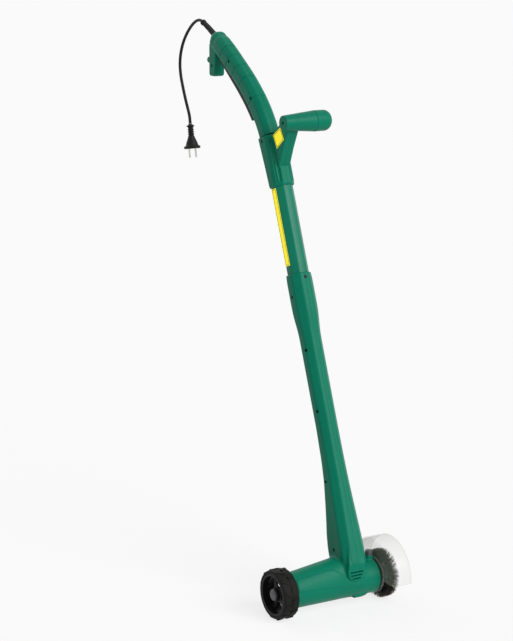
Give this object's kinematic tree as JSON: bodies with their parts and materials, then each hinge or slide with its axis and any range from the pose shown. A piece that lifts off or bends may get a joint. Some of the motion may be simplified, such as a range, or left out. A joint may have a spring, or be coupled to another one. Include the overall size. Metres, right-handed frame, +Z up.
{
  "type": "electric weed brush",
  "caption": "Upright electric weed brush: guide wheel and guarded rotary brush on a motor head, long pole, side grip, curved handle with a lever switch and a mains cord.",
  "frame": {"origin": "middle of the main handle where the hand holds it, in the plane where the casing halves meet", "axes": "+X from the guide wheel to the brush, +Y towards the user, +Z up; the ground is 0.9923 m below the origin"},
  "size_m": [0.276, 0.7441, 1.1133],
  "materials": {
    "green_casing": "satin moulded, deep green",
    "green_tube": "smooth green paint",
    "black_plastic": "matt moulded, black",
    "black_rubber": "matt, black",
    "tyre_rubber": "matt moulded, black",
    "grey_plastic": "satin moulded, grey",
    "clear_guard": "clear, faintly grey",
    "bristle_nylon": "black strands",
    "bright_steel": "turned or pressed, bright",
    "dark_steel": "dark, oiled",
    "screw_steel": "blackened",
    "winding_copper": "enamelled wire",
    "commutator_brass": "machined",
    "ferrite": "dull, dark grey",
    "carbon": "dull, dark grey",
    "white_nylon": "matt moulded, off-white"
  },
  "bodies": {
    "frame": {"axle_clip": "dark_steel", "bell_screw": "screw_steel", "body_screw_1": "screw_steel", "body_screw_2": "screw_steel", "body_screw_3": "screw_steel", "body_screw_4": "screw_steel", "body_shell_left": "green_casing", "body_shell_right": "green_casing", "bracket_screw": "screw_steel", "bracket_shell_left": "green_casing", "bracket_shell_right": "green_casing", "brush_guard": "clear_guard", "carbon_brush_lower": "carbon", "carbon_brush_upper": "carbon", "gear_plate_brush_side": "bright_steel", "gear_plate_motor_side": "bright_steel", "grip_screw": "screw_steel", "grip_sleeve": "green_casing", "handle_screw_1": "screw_steel", "handle_screw_2": "screw_steel", "handle_shell_left": "green_casing", "handle_shell_right": "green_casing", "hook_screw": "screw_steel", "idler_shaft": "bright_steel", "inner_lead": "black_rubber", "motor_bearing_front": "bright_steel", "motor_bearing_rear": "bright_steel", "motor_can": "bright_steel", "motor_end_cap": "white_nylon", "motor_magnet": "ferrite", "plug_body": "black_plastic", "plug_pin_left": "bright_steel", "plug_pin_right": "bright_steel", "power_cord": "black_rubber", "shaft_tube": "green_tube", "spindle_bearing_inner": "bright_steel", "spindle_bearing_outer": "bright_steel", "strain_relief": "black_rubber", "switch_body": "black_plastic", "trigger_pin": "bright_steel", "tube_screw": "screw_steel", "wheel_axle": "bright_steel"},
    "wheel": {"wheel_tyre": "tyre_rubber", "wheel_rim": "black_plastic", "hub_cap": "grey_plastic"},
    "brush": {"spindle": "bright_steel", "spindle_gear": "dark_steel", "brush_core": "black_plastic", "brush_bristles": "bristle_nylon", "brush_nut": "bright_steel"},
    "idler": {"idler_gear": "white_nylon"},
    "motor_rotor": {"armature_core": "dark_steel", "armature_winding": "winding_copper", "commutator": "commutator_brass", "cooling_fan": "white_nylon", "motor_pinion": "dark_steel", "motor_shaft": "bright_steel"},
    "trigger": {"switch_trigger": "black_plastic"},
    "plunger": {"switch_plunger": "grey_plastic"},
    "lock_button": {"spindle_lock_button": "grey_plastic"}
  },
  "joints": [
    {"name": "wheel_spin", "type": "hinge", "parent": "frame", "child": "wheel", "pos_m": [-0.1595, -0.38004, -0.9423], "axis": [1, 0, 0], "continuous": true},
    {"name": "brush_spin", "type": "hinge", "parent": "frame", "child": "brush", "pos_m": [0.077, -0.38004, -0.9423], "axis": [1, 0, 0], "continuous": true},
    {"name": "idler_spin", "type": "hinge", "parent": "frame", "child": "idler", "pos_m": [-0.02, -0.38004, -0.9223], "axis": [1, 0, 0], "continuous": true},
    {"name": "motor_spin", "type": "hinge", "parent": "frame", "child": "motor_rotor", "pos_m": [-0.08, -0.38004, -0.9423], "axis": [1, 0, 0], "continuous": true},
    {"name": "trigger_press", "type": "hinge", "parent": "frame", "child": "trigger", "pos_m": [0, 0.08384, 0.03961], "axis": [-1, 0, 0], "range_deg": [0, 2.4], "stiffness_Nm_per_rad": 4, "springref_deg": -5.73},
    {"name": "plunger_slide", "type": "slide", "parent": "frame", "child": "plunger", "axis": [0, -0.6439, 0.7651], "range_m": [0, 0.0042]},
    {"name": "spindle_lock", "type": "slide", "parent": "frame", "child": "lock_button", "axis": [0, 0, -1], "range_m": [0, 0.004], "stiffness_N_per_m": 300, "springref_m": -0.004}
  ],
  "couplings": [
    {"joint": "idler_spin", "follows": "brush_spin", "ratio": -3},
    {"joint": "motor_spin", "follows": "brush_spin", "ratio": 10.333},
    {"joint": "plunger_slide", "follows": "trigger_press", "m_per_rad": 0.0983}
  ]
}
